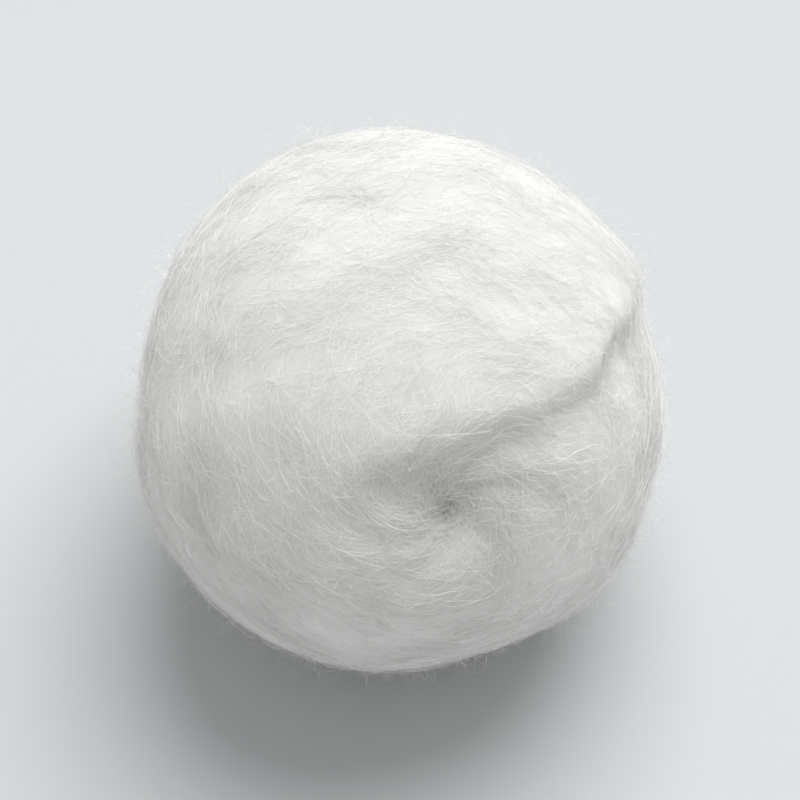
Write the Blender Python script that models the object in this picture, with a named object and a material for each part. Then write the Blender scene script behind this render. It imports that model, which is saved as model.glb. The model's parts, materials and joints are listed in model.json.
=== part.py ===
"""A rolled cotton ball, 30 mm across, as one solid.

Run it with blender --background --python part.py, or from Blender's text editor. Metres, +Z up.

Such a ball is a short band of carded cotton, rolled up on itself and then rolled round. The band's
two sides are drawn in at the ends of the roll, where they gather in pleats round a small tuck. Its
free end lies over the turn below, from beside one tuck to beside the other, and its edge is a soft
lip. The ball is soft, so it keeps shallow flats where others pressed on it, and it stands on a small
flat spot. The origin is on the plane of that spot, under the middle of the ball's box.

The ball is shaped lying on its roll axis, which is Z until the ball is turned to how it stands.
"""

import math

import bmesh
import bpy
from mathutils import Euler, Matrix, Vector

# The ball, across its middle and from end to end of the roll
BALL_DIAMETER = 0.0306
ROLL_LENGTH = 0.0301

# How the roll lies: its front end rises from the horizon, and is turned from -Y towards +X
ROLL_TILT = math.radians(33)
ROLL_HEADING = math.radians(15)

# The small flat spot that the ball stands on
REST_SPOT_DIAMETER = 0.0092

# The tuck at each end of the roll: its depth and width, and how many pleats run into it
FRONT_TUCK_DEPTH = 0.0014
FRONT_TUCK_WIDTH = 0.0060
FRONT_PLEATS = 6
BACK_TUCK_DEPTH = 0.0012
BACK_TUCK_WIDTH = 0.0074
BACK_PLEATS = 6

# The pleats: the depth of the valleys between them, where they are deepest and where they have run
# out, both measured over the ball from its end, and how unevenly they are spaced, which differs
# from one end to the other by a phase
PLEAT_DEPTH = 0.00026
PLEAT_PEAK = 0.0034
PLEAT_REACH = 0.0130
PLEAT_UNEVENNESS = 0.28
FRONT_PHASE = 1.0
BACK_PHASE = 2.5

# The band's free end: the turn at which it lies, how far its edge passes from the tucks, how far
# round from its middle it fades, how much it stands over the turn below, its lip, how far on the two
# have merged, and how much and how often its edge wavers
LAP_TURN = math.radians(14)
LAP_PASSES = math.radians(17)
LAP_FADES = math.radians(96)
LAP_FADED = math.radians(127)
LAP_STEP = 0.00095
LAP_EDGE_WIDTH = 0.0019
LAP_LIP_HEIGHT = 0.00030
LAP_LIP_WIDTH = 0.0036
LAP_RUN_OUT = 0.0070
LAP_WAVER = 0.00045
LAP_WAVES = 5

# Slow unevenness in how densely the cotton is packed, as waves, each with how it runs and its phase
LUMP_HEIGHT = 0.00035
LUMP_SIZE = 0.0056
LUMP_WAVES = (((1.0, 1.7, 0), 0.4), ((0, -1.0, 1.3), 2.1), ((1.9, 0, -1.0), 4.0))

# Flats where others pressed: the way to each, as a turn from +X and a rise, and how deep it is
PRESSED_FLATS = (
    (math.radians(70), math.radians(8), 0.00060),
    (math.radians(172), math.radians(2), 0.00085),
    (math.radians(125), math.radians(60), 0.00045),
    (math.radians(295), math.radians(-28), 0.00050),
)
FLAT_ROUNDING = 0.00040

# How finely the round is divided: round the roll, and from end to end. The lines that run from end
# to end lie closer together at the lap, by this share
MERIDIANS = 96
PARALLELS = 56
CLOSER_AT_LAP = 0.35

# Points of the flat spot's rim that are closer than this are merged, so that no slivers meet it
RIM_SPACING = 0.00028


def rise(value, start, end):
    """Runs smoothly from 0 at start to 1 at end."""
    share = min(max((value - start) / (end - start), 0), 1)
    return share * share * (3 - 2 * share)


def bump(distance, width):
    """A soft bump: 1 at no distance, and near 0 at half the width."""
    return math.exp(-((2 * distance / width) ** 2))


def heading(turn, tilt):
    """The unit vector at this turn from +X about Z, and at this tilt above the level plane."""
    level = math.cos(tilt)
    return Vector((level * math.cos(turn), level * math.sin(turn), math.sin(tilt)))


def sink_by(ball, sink):
    """Moves each point towards the middle, as far as sink gives for the way in which it lies."""
    for point in ball.verts:
        way = point.co.normalized()
        point.co -= way * sink(way)


def crowd_grid_at_lap(ball):
    """Draws the lines from end to end closer together at the lap's turn, where the step is."""
    for point in ball.verts:
        from_lap = math.atan2(point.co.y, point.co.x) - LAP_TURN
        point.co.rotate(Matrix.Rotation(-CLOSER_AT_LAP * math.sin(from_lap), 3, "Z"))


def end_sink(way, depth, width, pleats, phase):
    """How far one end is drawn in: the tuck on the axis, and the valleys of the pleats round it."""
    from_end = BALL_DIAMETER / 2 * way.angle(Vector((0, 0, 1)))
    turn = math.atan2(way.y, way.x)
    uneven = turn + PLEAT_UNEVENNESS * (math.sin(2 * turn + phase) + math.sin(3 * turn) / 2)
    valley = ((1 + math.cos(pleats * uneven)) / 2) ** 2
    presence = rise(from_end, 0, PLEAT_PEAK) * (1 - rise(from_end, PLEAT_PEAK, PLEAT_REACH))
    return depth * bump(from_end, width) + PLEAT_DEPTH * presence * valley


def front_end_sink(way):
    return end_sink(way, FRONT_TUCK_DEPTH, FRONT_TUCK_WIDTH, FRONT_PLEATS, FRONT_PHASE)


def back_end_sink(way):
    mirrored = Vector((way.x, way.y, -way.z))
    return end_sink(mirrored, BACK_TUCK_DEPTH, BACK_TUCK_WIDTH, BACK_PLEATS, BACK_PHASE)


def turn_grid_along_lap(ball):
    """Turns each ring about the axis, so that the grid's lines and the pleats run as the lap does.

    The lap's edge is a great circle, whose turn on a ring has the ratio of slant to level as its
    sine. That holds up to where the edge passes the tuck, and from there the turn eases to a quarter.
    """
    for point in ball.verts:
        level = math.hypot(point.co.x, point.co.y)
        slant = point.co.z * math.tan(LAP_PASSES)
        point.co.rotate(Matrix.Rotation(math.asin(slant / (level**4 + slant**4) ** 0.25), 3, "Z"))


def lap_sink(way):
    """How far the turn below lies under the band's free end. The lip of the end itself stands up."""
    middle = heading(LAP_TURN, 0)
    covered_side = heading(LAP_TURN - math.pi / 2, LAP_PASSES)
    waver = LAP_WAVER * math.sin(LAP_WAVES * way.z + 1)
    past_edge = BALL_DIAMETER / 2 * math.asin(way.dot(covered_side)) + waver
    presence = 1 - rise(way.angle(middle), LAP_FADES, LAP_FADED)
    step = rise(past_edge, -LAP_EDGE_WIDTH / 2, LAP_EDGE_WIDTH / 2)
    merging = math.exp(-max(past_edge, 0) / LAP_RUN_OUT)
    lip = LAP_LIP_HEIGHT * bump(past_edge + LAP_EDGE_WIDTH / 2, LAP_LIP_WIDTH)
    return presence * (LAP_STEP * step * merging - lip)


def lump_sink(way):
    """How far the cotton lies below the round, or above it, from how densely it is packed."""
    place = way * (BALL_DIAMETER / 2 / LUMP_SIZE)
    waves = [math.sin(place.dot(Vector(run)) + phase) for run, phase in LUMP_WAVES]
    return LUMP_HEIGHT * sum(waves) / len(waves)


def press(ball, way, distance, rounding):
    """Presses what stands further than distance along way back to a flat, with a soft rim."""
    for point in ball.verts:
        height = point.co.dot(way)
        room = (distance - height) / rounding
        eased = math.log1p(math.exp(-abs(room))) + max(room, 0)
        point.co += way * (distance - rounding * eased - height)


def stand_on_flat_spot(ball):
    """Cuts the underside to the flat spot, closes it with one plane face, and puts that at Z = 0."""
    radius = BALL_DIAMETER / 2
    cap_height = radius - math.sqrt(radius**2 - (REST_SPOT_DIAMETER / 2) ** 2)
    floor = min(point.co.z for point in ball.verts) + cap_height
    everything = ball.verts[:] + ball.edges[:] + ball.faces[:]
    cut = bmesh.ops.bisect_plane(
        ball, geom=everything, plane_co=(0, 0, floor), plane_no=(0, 0, -1), clear_outer=True
    )
    rim_points = [item for item in cut["geom_cut"] if isinstance(item, bmesh.types.BMVert)]
    bmesh.ops.remove_doubles(ball, verts=rim_points, dist=RIM_SPACING)
    rim = [edge for edge in ball.edges if edge.is_boundary]
    spot = bmesh.ops.edgeloop_fill(ball, edges=rim)["faces"][0]
    bmesh.ops.translate(ball, verts=ball.verts, vec=(0, 0, -floor))
    return spot


def centre_over_origin(ball):
    """Moves the ball level, until the middle of its box is over the origin."""
    for axis in (0, 1):
        places = [point.co[axis] for point in ball.verts]
        middle = (min(places) + max(places)) / 2
        for point in ball.verts:
            point.co[axis] -= middle


def shape_cotton():
    """The ball's surface, as one closed mesh."""
    ball = bmesh.new()
    bmesh.ops.create_uvsphere(
        ball, u_segments=MERIDIANS, v_segments=PARALLELS, radius=BALL_DIAMETER / 2
    )
    bmesh.ops.scale(ball, verts=ball.verts, vec=(1, 1, ROLL_LENGTH / BALL_DIAMETER))
    crowd_grid_at_lap(ball)
    sink_by(ball, front_end_sink)
    sink_by(ball, back_end_sink)
    turn_grid_along_lap(ball)
    sink_by(ball, lap_sink)
    sink_by(ball, lump_sink)
    ball.transform(Euler((math.pi / 2 - ROLL_TILT, 0, ROLL_HEADING)).to_matrix().to_4x4())
    for turn, tilt, depth in PRESSED_FLATS:
        press(ball, heading(turn, tilt), BALL_DIAMETER / 2 - depth, FLAT_ROUNDING)
    spot = stand_on_flat_spot(ball)
    centre_over_origin(ball)
    bmesh.ops.recalc_face_normals(ball, faces=ball.faces)
    for face in ball.faces:
        face.smooth = face is not spot
    for edge in spot.edges:
        edge.smooth = False
    return ball


def bleached_cotton():
    """Bleached cotton: matt, and white with a trace of warmth."""
    material = bpy.data.materials.new("bleached_cotton")
    material.use_nodes = True
    shader = material.node_tree.nodes["Principled BSDF"]
    shader.inputs["Base Color"].default_value = (0.86, 0.86, 0.84, 1)
    shader.inputs["Roughness"].default_value = 0.95
    shader.inputs["Metallic"].default_value = 0
    return material


def cotton_ball():
    ball = shape_cotton()
    mesh = bpy.data.meshes.new("cotton_ball")
    ball.to_mesh(mesh)
    ball.free()
    mesh.materials.append(bleached_cotton())
    bpy.context.scene.collection.objects.link(bpy.data.objects.new("cotton_ball", mesh))


def clear_scene():
    for item in list(bpy.data.objects):
        bpy.data.objects.remove(item)


clear_scene()
cotton_ball()
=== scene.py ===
# %% [markdown]
# # A rolled cotton ball
#
# This file dresses one white cotton ball, 30 mm across. The real one is a short band of carded
# cotton, rolled up on itself and then rolled round until it holds together. Nothing on it is hard or
# shiny, so what tells the eye that it is cotton is a soft outline, a matt white that light sinks
# into, and thousands of fine fibres that follow the way the band was wound.
#
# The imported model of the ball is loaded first. It is in metres, with Z up, and stays where it is:
# every piece below is made round it.

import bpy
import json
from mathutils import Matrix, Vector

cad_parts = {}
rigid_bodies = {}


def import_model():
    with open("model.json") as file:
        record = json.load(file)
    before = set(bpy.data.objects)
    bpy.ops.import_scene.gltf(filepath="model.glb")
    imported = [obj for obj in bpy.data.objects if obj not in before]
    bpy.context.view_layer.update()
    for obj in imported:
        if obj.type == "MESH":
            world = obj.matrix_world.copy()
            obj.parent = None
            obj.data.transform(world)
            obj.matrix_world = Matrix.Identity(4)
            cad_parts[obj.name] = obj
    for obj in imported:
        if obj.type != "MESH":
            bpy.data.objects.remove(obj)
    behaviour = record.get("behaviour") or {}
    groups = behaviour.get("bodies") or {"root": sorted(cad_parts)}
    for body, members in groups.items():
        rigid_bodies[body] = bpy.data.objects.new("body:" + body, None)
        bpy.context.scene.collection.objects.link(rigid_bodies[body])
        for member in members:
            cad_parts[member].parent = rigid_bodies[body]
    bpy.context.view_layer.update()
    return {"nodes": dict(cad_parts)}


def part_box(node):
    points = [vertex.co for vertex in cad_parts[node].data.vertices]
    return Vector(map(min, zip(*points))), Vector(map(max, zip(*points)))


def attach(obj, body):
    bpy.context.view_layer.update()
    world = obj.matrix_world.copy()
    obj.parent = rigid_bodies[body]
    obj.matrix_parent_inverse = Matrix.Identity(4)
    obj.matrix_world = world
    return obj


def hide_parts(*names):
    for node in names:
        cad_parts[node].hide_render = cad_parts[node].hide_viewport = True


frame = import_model()
print("packed nodes:", sorted(frame["nodes"]))

# %% [markdown]
# ## Where the roll lies
#
# Fibres and folds follow the roll, so two facts about it are used all through the file: where the
# ball's middle is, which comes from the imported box, and how the axis of the roll lies. That axis
# comes out of the ball low on the front, where the band's side is tucked in. Turning the world's
# axes gives a frame of the roll's own, with its Z along the axis, and a point is easy to describe
# there as a turn about the axis and a distance from an end.

# %% The roll's own axes
import math

from mathutils import Euler, Vector

ROLL_TILT = math.radians(33)
ROLL_HEADING = math.radians(15)

low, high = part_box("cotton_ball")
MIDDLE = (low + high) / 2
RADIUS = (high.y - low.y) / 2
ROLL = Euler((math.pi / 2 - ROLL_TILT, 0, ROLL_HEADING)).to_matrix()
ROLL_AXIS = ROLL @ Vector((0, 0, 1))
print("middle in mm:", [round(1000 * side, 2) for side in MIDDLE], "radius in mm:", round(1000 * RADIUS, 2))

# %% [markdown]
# ## The camera
#
# The ball is looked down on from the front at 61 degrees, from about 0.47 m away, which is how far
# off a lens of ordinary length would show it as small as it is in the picture. A long lens from the
# same place then brings it close without changing how it is seen.

# %% Place the camera
import bpy

VIEW_TURN = math.radians(1)
VIEW_HEIGHT = math.radians(61.3)
VIEW_DISTANCE = 0.470
BALL_SHARE_OF_WIDTH = 0.66

way_to_camera = Vector(
    (
        math.cos(VIEW_HEIGHT) * math.sin(VIEW_TURN),
        -math.cos(VIEW_HEIGHT) * math.cos(VIEW_TURN),
        math.sin(VIEW_HEIGHT),
    )
)
camera_data = bpy.data.cameras.new("camera")
camera_data.sensor_width = 36
camera_data.lens = BALL_SHARE_OF_WIDTH * camera_data.sensor_width * VIEW_DISTANCE / (2 * RADIUS)
camera_data.clip_start = 0.01
camera = bpy.data.objects.new("camera", camera_data)
bpy.context.scene.collection.objects.link(camera)
camera.location = MIDDLE + VIEW_DISTANCE * way_to_camera
camera.rotation_euler = way_to_camera.to_track_quat("Z", "Y").to_euler()
bpy.context.scene.camera = camera
print("lens in mm:", round(camera_data.lens, 1))

# %% [markdown]
# ## Helpers for picking things up and for materials
#
# An operator of Blender's acts on all that is selected, so each step first picks up one piece alone.
# Colours are written as the hex values that a picture editor shows, and turned to the linear values
# that a shader wants by one function. Another adds a node with its settings and links, which keeps
# a material's recipe down to a few lines.

# %% Three small helpers
def pick_up(piece):
    """Selects this piece alone and makes it the active one, as a click on it would."""
    bpy.ops.object.select_all(action="DESELECT")
    piece.select_set(True)
    bpy.context.view_layer.objects.active = piece


def linear(hex_colour):
    """The linear colour, with an alpha of 1, of an sRGB hex value such as F2F2F0."""
    shares = [int(hex_colour[place : place + 2], 16) / 255 for place in (0, 2, 4)]
    return tuple(s / 12.92 if s <= 0.04045 else ((s + 0.055) / 1.055) ** 2.4 for s in shares) + (1,)


def add_node(owner, kind, links=(), **settings):
    """Adds a node to a material or to the world. Each setting is a property of it, or else an input."""
    tree = owner.node_tree
    node = tree.nodes.new(kind)
    for name, value in settings.items():
        if hasattr(node, name):
            setattr(node, name, value)
        else:
            node.inputs[name.replace("_", " ")].default_value = value
    for name, socket in dict(links).items():
        tree.links.new(socket, node.inputs[name])
    return node


print("a mid grey, hex 808080, has the linear value", round(linear("808080")[0], 3))

# %% [markdown]
# ## The body of the ball
#
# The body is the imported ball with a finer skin. A copy of its mesh is merged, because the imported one
# is loose triangles, and its triangles are joined back into quads so that a subdivision surface can
# round them. The quads crowd together at the ends of the roll, so a voxel remesh then lays an even
# grid over the whole ball. That grid is fine enough, at 0.2 mm, to hold the tufts that come next.

# %% Copy the ball and lay an even grid on it
GRID = 0.00021

body = bpy.data.objects.new("cotton_body", frame["nodes"]["cotton_ball"].data.copy())
bpy.context.scene.collection.objects.link(body)
pick_up(body)
bpy.ops.object.mode_set(mode="EDIT")
bpy.ops.mesh.select_all(action="SELECT")
bpy.ops.mesh.remove_doubles(threshold=0.000001)
bpy.ops.mesh.tris_convert_to_quads()
bpy.ops.object.mode_set(mode="OBJECT")

rounding = body.modifiers.new("rounding", "SUBSURF")
rounding.levels = 2
rounding.render_levels = 2
even_grid = body.modifiers.new("even_grid", "REMESH")
even_grid.mode = "VOXEL"
even_grid.voxel_size = GRID
bpy.ops.object.modifier_apply(modifier="rounding")
bpy.ops.object.modifier_apply(modifier="even_grid")
print("faces of the body:", len(body.data.polygons))

# %% [markdown]
# ## The torn edge of the lap
#
# The band's free end is a lap that stands a millimetre over the turn below. Its edge is a great
# circle of the ball that passes beside both tucks, so any place near it is an angle along that
# circle and a distance past it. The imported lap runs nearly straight. The real band is torn to length
# and not cut, so its edge strays to both sides, and its lip is thicker in some places than in
# others. Sliding the skin over the ball does the first, and lifting it does the second. How much is
# read from noise along the edge, in waves a few millimetres long. Noise fills space, so the two read
# it at places far apart, where it differs. A fractal noise adds ever finer waves to the first ones.
# Its last three numbers are how fast they lose height, how much finer each is, and how many there
# are.
#
# The lap has merged with the turn below at its two ends, and there is none on the far side of the
# ball. So both fade out where it does. Without that, the far side would have a fold, because the
# angle along the circle jumps there from half a turn to minus half a turn.

# %% Let the lap's edge stray
from mathutils import noise

LAP_TURN = math.radians(14)
LAP_PASSES = math.radians(17)
LAP_FADES = math.radians(96)
LAP_FADED = math.radians(127)
LIP_FROM_EDGE = -0.0009
LIP_WIDTH = 0.0014
LIP_UNEVENNESS = 0.00022
EDGE_STRAYS_BY = 0.0006
EDGE_WAVE = 0.0070
EDGE_REACH = 0.0034
EDGE_NOISE_AT = 0.5
LIP_NOISE_AT = 9

level = math.cos(LAP_PASSES)
lap_middle = ROLL @ Vector((math.cos(LAP_TURN), math.sin(LAP_TURN), 0))
lap_side = ROLL @ Vector((level * math.sin(LAP_TURN), -level * math.cos(LAP_TURN), math.sin(LAP_PASSES)))
lap_run = lap_side.cross(lap_middle)


def edge_strays(along):
    """How far to the side the torn edge is at this angle along the lap."""
    place = Vector((RADIUS * along / EDGE_WAVE, EDGE_NOISE_AT, EDGE_NOISE_AT))
    return EDGE_STRAYS_BY * noise.fractal(place, 0.9, 2.0, 3)


def lap_presence(way):
    """1 where the lap is whole, and 0 from where it has merged with the turn below."""
    share = (way.angle(lap_middle) - LAP_FADES) / (LAP_FADED - LAP_FADES)
    share = min(max(share, 0), 1)
    return 1 - share * share * (3 - 2 * share)


def tear_edge(point):
    """Where this point of the skin goes as the lap's edge strays and its lip gets uneven."""
    way = (point - MIDDLE).normalized()
    past_edge = RADIUS * math.asin(way.dot(lap_side))
    along = math.atan2(way.dot(lap_run), way.dot(lap_middle))
    presence = lap_presence(way)
    slide = presence * edge_strays(along) * math.exp(-((past_edge / EDGE_REACH) ** 2))
    across = (lap_side - way.dot(lap_side) * way).normalized()
    slid = (point + slide * across - MIDDLE).normalized()
    thickness = noise.noise(Vector((RADIUS * along / EDGE_WAVE, past_edge / EDGE_WAVE, LIP_NOISE_AT)))
    lift = LIP_UNEVENNESS * thickness * math.exp(-(((past_edge - LIP_FROM_EDGE) / LIP_WIDTH) ** 2))
    return MIDDLE + ((point - MIDDLE).length + presence * lift) * slid


for vertex in body.data.vertices:
    vertex.co = tear_edge(vertex.co)
body.data.update()
strayed = [1000 * edge_strays(math.radians(degrees)) for degrees in range(-90, 91, 10)]
print("the edge strays by, in mm:", [round(amount, 2) for amount in strayed])

# %% [markdown]
# ## Tufts and streaks
#
# Carded cotton is never even. It has tufts a few millimetres across, where more fibres came
# together, and on top of them fine streaks where fibres lie side by side. Both could be a bump in
# the material, but a bump leaves the outline smooth, so each vertex is moved along its normal by two
# sums of noise. The streaks come from noise that changes fast from one end of the roll to the other
# and slowly round it, so they run round the roll as the fibres do. What would go below the flat spot
# that the ball stands on is kept at its level.

# %% Move the skin by noise
TUFT_SIZE = 0.0045
TUFT_HEIGHT = 0.00014
STREAK_WIDTH = 0.0011
STREAK_LENGTH = 0.0040
STREAK_HEIGHT = 0.00005


def along_fibres(point):
    """The point stretched so that a noise read at it runs in streaks round the roll."""
    place = ROLL.transposed() @ (point - MIDDLE)
    from_end = RADIUS * place.angle(Vector((0, 0, 1)))
    return Vector((place.x / STREAK_LENGTH, place.y / STREAK_LENGTH, from_end / STREAK_WIDTH))


def tuft(point):
    """How far the tufts lift or sink the skin at this point."""
    return TUFT_HEIGHT * noise.fractal((point - MIDDLE) / TUFT_SIZE, 1.0, 2.0, 3)


def streak(point):
    """How far the streaks lift or sink it there."""
    return STREAK_HEIGHT * noise.fractal(along_fibres(point), 0.9, 2.1, 2)


moves = [vertex.normal * (tuft(vertex.co) + streak(vertex.co)) for vertex in body.data.vertices]
for vertex, move in zip(body.data.vertices, moves):
    vertex.co += move
    vertex.co.z = max(vertex.co.z, 0)
pick_up(body)
bpy.ops.object.shade_smooth()
print("largest move in mm:", round(1000 * max(move.length for move in moves), 3))

# %% [markdown]
# ## The way a fibre runs
#
# A fibre starts somewhere on the ball and follows the surface round the roll, as the band was wound.
# It lies at an angle to that winding, which has three parts. One is a slow noise that neighbours
# share, so that they lie side by side in streams. One is the fibre's own. The last grows towards
# the ends of the roll, where all of them turn in to the tuck, in a swirl.
#
# The path is walked in short steps. Each goes straight ahead, off the ball's surface, and then down
# to the nearest point of the body. A BVH tree finds that point and its normal fast.

# %% Walk one fibre over the ball
import random

from mathutils.bvhtree import BVHTree

surface = BVHTree.FromObject(body, bpy.context.evaluated_depsgraph_get())
STREAM_SIZE = 0.0040
STREAM_TURN = math.radians(50)
OWN_TURN = math.radians(32)
SWIRL_REACH = 0.0120
SWIRL_TURN = math.radians(50)


def any_way(rng):
    """A vector that points any way, about as likely as any other."""
    return Vector((rng.gauss(0, 1), rng.gauss(0, 1), rng.gauss(0, 1)))


def random_start(rng):
    """A point of the surface and its normal, found along a random way from the ball's middle."""
    way = any_way(rng).normalized()
    return surface.ray_cast(MIDDLE + 2 * RADIUS * way, -way)[:2]


def towards_tuck(place):
    """How far fibres turn from the winding towards the nearer tuck, which gathers them in a swirl."""
    along = (place - MIDDLE).normalized().dot(ROLL_AXIS)
    from_end = RADIUS * math.acos(min(1, abs(along)))
    share = max(0, 1 - from_end / SWIRL_REACH)
    return math.copysign(SWIRL_TURN * share * (2 - share), along)


def walk(start, normal, first_turn, turns, step):
    """The places and normals under a fibre that starts here and turns a little at each step."""
    place, turn = start, first_turn
    footing = [(place, normal)]
    for change in turns:
        outwards = (place - MIDDLE).normalized()
        winding = ROLL_AXIS.cross(outwards).normalized()
        across = outwards.cross(winding)
        stream = STREAM_TURN * noise.noise((place - MIDDLE) / STREAM_SIZE)
        angle = stream + turn + towards_tuck(place)
        turn += change
        ahead = place + step * (math.cos(angle) * winding + math.sin(angle) * across)
        place, normal = surface.find_nearest(ahead)[:2]
        footing.append((place, normal))
    return footing


print("faces to walk on:", len(body.data.polygons))

# %% [markdown]
# ## Fibres as one mesh
#
# Under a microscope a cotton fibre is a flat ribbon, about 0.02 mm wide, that twists slowly along its
# length. So each is made as a ribbon here, which takes only two triangles a step, and there can be
# tens of thousands. A curve with an extrusion would give a ribbon too, but nothing would keep its
# flat side to the ball. The two edges are worked out from the path instead, and the mesh is made
# from them. Each fibre also gets a tone of its own, and its own cell in a UV map, with a margin.

# %% Make a piece from fibres
import numpy as np

TIP_WIDTH = 0.3
CELL_MARGIN = 0.2


def ribbon_edges(path, facings, width):
    """The points down both edges of a ribbon along this path, which narrows towards its ends."""
    edges = []
    last = len(path) - 1
    for index, (place, facing) in enumerate(zip(path, facings)):
        ahead = path[min(index + 1, last)] - path[max(index - 1, 0)]
        taper = TIP_WIDTH + (1 - TIP_WIDTH) * math.sqrt(math.sin(math.pi * index / last))
        to_edge = ahead.cross(facing).normalized() * width / 2 * taper
        edges += [place + to_edge, place - to_edge]
    return edges


def fibre_piece(name, fibres, width, seed):
    """One mesh of flat fibres. Each is its path, and the way that its flat side faces at each place."""
    points = [point for path, facings in fibres for point in ribbon_edges(path, facings, width)]
    per_fibre = len(points) // len(fibres)
    faces = []
    for first in range(0, len(points), per_fibre):
        faces += [(edge, edge + 2, edge + 3, edge + 1) for edge in range(first, first + per_fibre - 2, 2)]
    mesh = bpy.data.meshes.new(name)
    mesh.from_pydata(points, [], faces)
    piece = bpy.data.objects.new(name, mesh)
    bpy.context.scene.collection.objects.link(piece)
    pick_up(piece)
    bpy.ops.object.shade_smooth()

    tones = np.random.default_rng(seed).random(len(fibres)).astype(np.float32)
    mesh.attributes.new("tone", "FLOAT", "POINT").data.foreach_set("value", np.repeat(tones, per_fibre))
    corners = np.empty(len(mesh.loops), np.int32)
    mesh.loops.foreach_get("vertex_index", corners)
    fibre, place = corners // per_fibre, corners % per_fibre
    cells = math.ceil(math.sqrt(len(fibres)))
    used = 1 - 2 * CELL_MARGIN
    u = (fibre % cells + CELL_MARGIN + used * (place % 2)) / cells
    v = (fibre // cells + CELL_MARGIN + used * (place // 2) / (per_fibre // 2)) / cells
    cell_map = mesh.uv_layers.new(name="OFBake")
    cell_map.data.foreach_set("uv", np.stack([u, v], 1).astype(np.float32).ravel())
    print(name, "fibres:", len(fibres), "triangles:", 2 * len(mesh.polygons))
    return piece


# %% [markdown]
# ## The outer web
#
# The web is made in three layers. In the lowest, the fibres lie flat on the body, and their fine
# shadows are what makes the ball look soft. Further out they arch higher and lean at all angles, so
# that they show from the side too and blur the outline. They are finer there, so that none of them
# looks like a hair. The layers are separate pieces, because one mesh of them all would be heavy to
# handle. The lowest fibres are drawn a fifth wider than real ones, so that they still show from
# where the camera stands. Under the ball, all of them are pressed flat by its weight.

# %% Lay the web
WEB_FIBRES = 11000
WEB_STEPS = 8
WEB_LENGTHS = (0.00384, 0.00768)
WEB_WAVER = math.radians(11)
WEB_BURIED = 0.00009
WEB_LEAST_LIFT = 0.4
WEB_LIFT_SPREAD = 0.8
WEB_ARCH = 0.6
WEB_LAYERS = (
    {"lift": 0.00005, "lean": 0.25, "width": 0.000024},
    {"lift": 0.00011, "lean": 0.7, "width": 0.000020},
    {"lift": 0.00022, "lean": 1.4, "width": 0.000016},
)
TABLE_GAP = 0.00002


def off_table(place):
    """The place or, if it lies lower than what the ball stands on, the one just above that."""
    return Vector((place.x, place.y, max(place.z, TABLE_GAP)))


def web_fibre(rng, layer):
    """The path of one fibre of the web, from one buried end to the other, and its facings."""
    start, normal = random_start(rng)
    step = rng.uniform(*WEB_LENGTHS) / WEB_STEPS
    turns = [rng.gauss(0, WEB_WAVER) for _ in range(WEB_STEPS)]
    footing = walk(start, normal, rng.gauss(0, OWN_TURN), turns, step)
    lift = layer["lift"] * (WEB_LEAST_LIFT + abs(rng.gauss(0, WEB_LIFT_SPREAD)))
    lean = layer["lean"] * any_way(rng)
    path, facings = [], []
    for index, (place, normal) in enumerate(footing):
        arch = math.sin(math.pi * index / WEB_STEPS) ** WEB_ARCH
        path.append(off_table(place + normal * ((lift + WEB_BURIED) * arch - WEB_BURIED)))
        facings.append(normal + lean)
    return path, facings


web = []
for number, layer in enumerate(WEB_LAYERS, start=1):
    rng = random.Random(100 + number)
    fibres = [web_fibre(rng, layer) for _ in range(WEB_FIBRES)]
    web.append(fibre_piece(f"web_fibres_{number}", fibres, layer["width"], seed=number))

# %% [markdown]
# ## The fringe of the free end
#
# The torn edge of the lap is a fringe. Its fibres leave the lip, reach over the step and end on the
# turn below, and that makes a soft edge of a clear one. Each is a curve drawn by a place on the lip,
# a place past the step and one raised point between them.

# %% Comb the fringe over the lap
FRINGE_FIBRES = 1500
FRINGE_STEPS = 7
FRINGE_WIDTH = 0.000020
FRINGE_STARTS = (-0.0026, -0.0006)
FRINGE_ENDS = (0.0002, 0.0024)
FRINGE_OVERHANG = (0.0002, 0.0010)
FRINGE_RISE = 0.00030
FRINGE_SLANT = math.radians(4)
FRINGE_LEAN = 0.7
LAP_HALF_LENGTH = math.radians(96)


def beside_lap(past_edge, along):
    """The skin's place and normal at this angle along the lap and this far past its torn edge."""
    past_edge = past_edge + edge_strays(along)
    way = math.cos(along) * lap_middle + math.sin(along) * lap_run
    way = math.cos(past_edge / RADIUS) * way + math.sin(past_edge / RADIUS) * lap_side
    return surface.ray_cast(MIDDLE + 2 * RADIUS * way, -way)[:2]


def fringe_fibre(rng):
    """The path of one fibre from the lip over the step to the turn below, and its facings."""
    along = rng.uniform(-LAP_HALF_LENGTH, LAP_HALF_LENGTH)
    start, normal = beside_lap(rng.uniform(*FRINGE_STARTS), along)
    end, _ = beside_lap(rng.uniform(*FRINGE_ENDS), along + rng.gauss(0, FRINGE_SLANT))
    lip, _ = beside_lap(LIP_FROM_EDGE, along)
    raised = lip + rng.uniform(*FRINGE_OVERHANG) * lap_side + rng.random() * FRINGE_RISE * normal
    start, end = start - WEB_BURIED * normal, end - WEB_BURIED * normal
    facing = normal + FRINGE_LEAN * any_way(rng)
    path = []
    for index in range(FRINGE_STEPS + 1):
        share = index / FRINGE_STEPS
        path.append((1 - share) ** 2 * start + 2 * share * (1 - share) * raised + share**2 * end)
    return path, [facing] * len(path)


rng = random.Random(31)
fringe_fibres = [fringe_fibre(rng) for _ in range(FRINGE_FIBRES)]
fringe = fibre_piece("lap_fringe", fringe_fibres, FRINGE_WIDTH, seed=5)

# %% [markdown]
# ## Stray fibres
#
# Handling pulls some fibres loose. They stand off the ball in short curls and give it the faint
# halo that shows against a darker ground. Each is rooted in the body, rises at a slant and bends
# back, with a curl of its own, and twists as it goes, so that some of it faces you from any side.

# %% Raise the stray fibres
from mathutils import Quaternion

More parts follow.
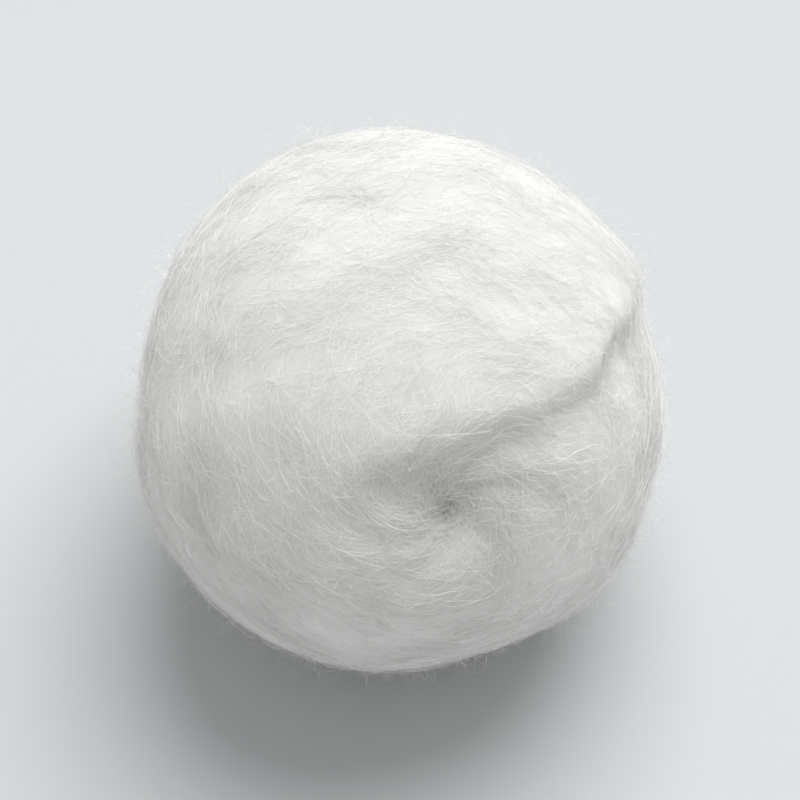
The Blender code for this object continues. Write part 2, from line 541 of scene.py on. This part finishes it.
STRAY_FIBRES = 9500
STRAY_STEPS = 9
STRAY_LENGTHS = (0.00088, 0.0033)
STRAY_WIDTH = 0.000015
STRAY_BURIED = 0.00015
STRAY_RISE = (0.15, 0.6)
STRAY_CURL = 0.25
STRAY_LEAN = 0.5
STRAY_TWIST = math.radians(40)
STRAY_WAVER = 0.08
STRAY_BEND = 0.07


def stray_fibre(rng):
    """The path of one fibre that stands off the ball and curls, and its facings."""
    place, normal = random_start(rng)
    place = place - normal * STRAY_BURIED
    level = any_way(rng).cross(normal).normalized()
    heading = (level + normal * rng.uniform(*STRAY_RISE)).normalized()
    step = rng.uniform(*STRAY_LENGTHS) / STRAY_STEPS
    curl = STRAY_CURL * any_way(rng)
    facing = normal + STRAY_LEAN * any_way(rng)
    path, facings = [place], [facing]
    for _ in range(STRAY_STEPS):
        place = off_table(place + heading * step)
        if place.z == TABLE_GAP:
            heading.z = abs(heading.z)
        facing = Quaternion(heading, STRAY_TWIST) @ facing
        path.append(place)
        facings.append(facing)
        pull = STRAY_WAVER * any_way(rng) - STRAY_BEND * normal
        heading = (heading + heading.cross(curl) + pull).normalized()
    return path, facings


rng = random.Random(7)
strays = fibre_piece("stray_fibres", [stray_fibre(rng) for _ in range(STRAY_FIBRES)], STRAY_WIDTH, seed=9)

# %% [markdown]
# ## Bleached cotton
#
# The cotton was carded and bleached, and has no dye or finish. A fibre is cellulose, clear in
# itself. The white comes from light that bounces between thousands of fibres and leaks out again
# some way off, so shadows on it are soft and never black. Subsurface scattering gives that to the
# body, over about 2 mm. A single fibre is too thin to hold light, so the fibres go without it. A
# little sheen stands for the light that all of them catch from behind. Nothing about it is glossy.
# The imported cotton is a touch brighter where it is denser, and each fibre has a tone of its own.

# %% The two materials
SCATTER_DEPTH = 0.0018
COTTON_WHITE = "F6F6F3"
COTTON_SHADE = "EEEEEA"
FIBRE_WHITE = "FDFDFB"
FIBRE_SHADE = "F4F4F1"


def cotton_shader(name, scatter_depth):
    """A material with bleached cotton's Principled settings, and its shader node."""
    material = bpy.data.materials.new(name)
    material.use_nodes = True
    shader = material.node_tree.nodes["Principled BSDF"]
    shader.inputs["Roughness"].default_value = 0.95
    shader.inputs["Specular IOR Level"].default_value = 0.15
    shader.inputs["Subsurface Weight"].default_value = 1 if scatter_depth > 0 else 0
    shader.inputs["Subsurface Radius"].default_value = (1.0, 0.98, 0.94)
    shader.inputs["Subsurface Scale"].default_value = scatter_depth
    shader.inputs["Sheen Weight"].default_value = 0.15
    shader.inputs["Sheen Roughness"].default_value = 0.6
    return material, shader


packed_cotton, shader = cotton_shader("bleached_cotton_packed", SCATTER_DEPTH)
coordinates = add_node(packed_cotton, "ShaderNodeTexCoord")
density = add_node(
    packed_cotton, "ShaderNodeTexNoise", {"Vector": coordinates.outputs["Object"]},
    Scale=1 / TUFT_SIZE, Detail=4, Roughness=0.6,
)
tone = add_node(
    packed_cotton, "ShaderNodeMix", {"Factor": density.outputs["Fac"]}, data_type="RGBA"
)
tone.inputs["A"].default_value = linear(COTTON_SHADE)
tone.inputs["B"].default_value = linear(COTTON_WHITE)
packed_cotton.node_tree.links.new(tone.outputs["Result"], shader.inputs["Base Color"])
body.data.materials.clear()
body.data.materials.append(packed_cotton)

loose_cotton, shader = cotton_shader("bleached_cotton_fibres", 0)
own_tone = add_node(loose_cotton, "ShaderNodeAttribute", attribute_name="tone")
tone = add_node(loose_cotton, "ShaderNodeMix", {"Factor": own_tone.outputs["Fac"]}, data_type="RGBA")
tone.inputs["A"].default_value = linear(FIBRE_SHADE)
tone.inputs["B"].default_value = linear(FIBRE_WHITE)
loose_cotton.node_tree.links.new(tone.outputs["Result"], shader.inputs["Base Color"])
for piece in (*web, fringe, strays):
    piece.data.materials.clear()
    piece.data.materials.append(loose_cotton)
print("materials:", [material.name for material in (packed_cotton, loose_cotton)])

# %% [markdown]
# ## Tie the pieces to the model
#
# The body stands for the imported ball, which is hidden. The fibres ride with it.

# %% Ride and replace
pieces = (body, *web, fringe, strays)
for piece in pieces:
    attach(piece, "root")
    piece.data.calc_loop_triangles()
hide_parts("cotton_ball")
print("triangles of each piece:", {piece.name: len(piece.data.loop_triangles) for piece in pieces})
print("triangles in all:", sum(len(piece.data.loop_triangles) for piece in pieces))

# %% [markdown]
# ## Floor and light
#
# The floor is plain and pale, a little darker than the lit cotton, so that a white ball reads on it.
# The light is soft and comes from above, behind and a little to the right, as from a wide window.
# A sun lamp gives that when its disc is made very wide, and it lights the far floor as much as the
# near one, so the ground stays plain from every side. It leaves the lower front of the ball in a
# quiet grey shade, which a weak world light opens up. The world also shows past the floor's far
# edge. Rays that are looked along, from the camera or by way of a mirror or glass, see it in the tone
# of the lit floor instead, by a mix of two backgrounds. Inputs of one node that share a name, such as
# the two values of a maximum, are given by their number.

# %% The stage
FLOOR_COLOUR = "D3D5D7"
FLOOR_SIZE = 20.0

bpy.ops.object.select_all(action="DESELECT")
bpy.ops.mesh.primitive_plane_add(size=FLOOR_SIZE, location=(0, 0, 0))
floor = bpy.context.object
floor.name = "floor"
matt_paint = bpy.data.materials.new("matt_paint")
matt_paint.use_nodes = True
paint_shader = matt_paint.node_tree.nodes["Principled BSDF"]
paint_shader.inputs["Base Color"].default_value = linear(FLOOR_COLOUR)
paint_shader.inputs["Roughness"].default_value = 0.9
paint_shader.inputs["Specular IOR Level"].default_value = 0.1
floor.data.materials.append(matt_paint)
print("floor in m:", [round(side, 1) for side in floor.dimensions])

# %% The light
WINDOW_TURN = math.radians(67)
WINDOW_HEIGHT = math.radians(61)
WINDOW_WIDTH = math.radians(48)
WINDOW_STRENGTH = 2.6
WORLD_STRENGTH = 0.42
FAR_FLOOR = "E3E5E7"

level = math.cos(WINDOW_HEIGHT)
to_window = Vector(
    (level * math.cos(WINDOW_TURN), level * math.sin(WINDOW_TURN), math.sin(WINDOW_HEIGHT))
)
window_data = bpy.data.lights.new("window", "SUN")
window_data.angle = WINDOW_WIDTH
window_data.energy = WINDOW_STRENGTH
window = bpy.data.objects.new("window", window_data)
bpy.context.scene.collection.objects.link(window)
window.rotation_euler = to_window.to_track_quat("Z", "Y").to_euler()

world = bpy.data.worlds.new("world")
world.use_nodes = True
bpy.context.scene.world = world
lights = world.node_tree.nodes["Background"]
lights.inputs["Color"].default_value = (1, 1, 1, 1)
lights.inputs["Strength"].default_value = WORLD_STRENGTH
shows = add_node(world, "ShaderNodeBackground", Color=linear(FAR_FLOOR))
rays = add_node(world, "ShaderNodeLightPath").outputs
reflected = add_node(
    world, "ShaderNodeMath", {0: rays["Is Glossy Ray"], 1: rays["Is Transmission Ray"]},
    operation="MAXIMUM",
)
looked_along = add_node(
    world, "ShaderNodeMath", {0: rays["Is Camera Ray"], 1: reflected.outputs["Value"]},
    operation="MAXIMUM",
)
either = add_node(
    world, "ShaderNodeMixShader",
    {0: looked_along.outputs["Value"], 1: lights.outputs["Background"], 2: shows.outputs["Background"]},
)
world.node_tree.links.new(either.outputs["Shader"], world.node_tree.nodes["World Output"].inputs["Surface"])
bpy.context.scene.view_settings.view_transform = "Standard"

# %% [markdown]
# ## The end
#
# The dressed ball has to stay in the imported ball's box, apart from what fibre may stand proud.

# %% Finish
import json
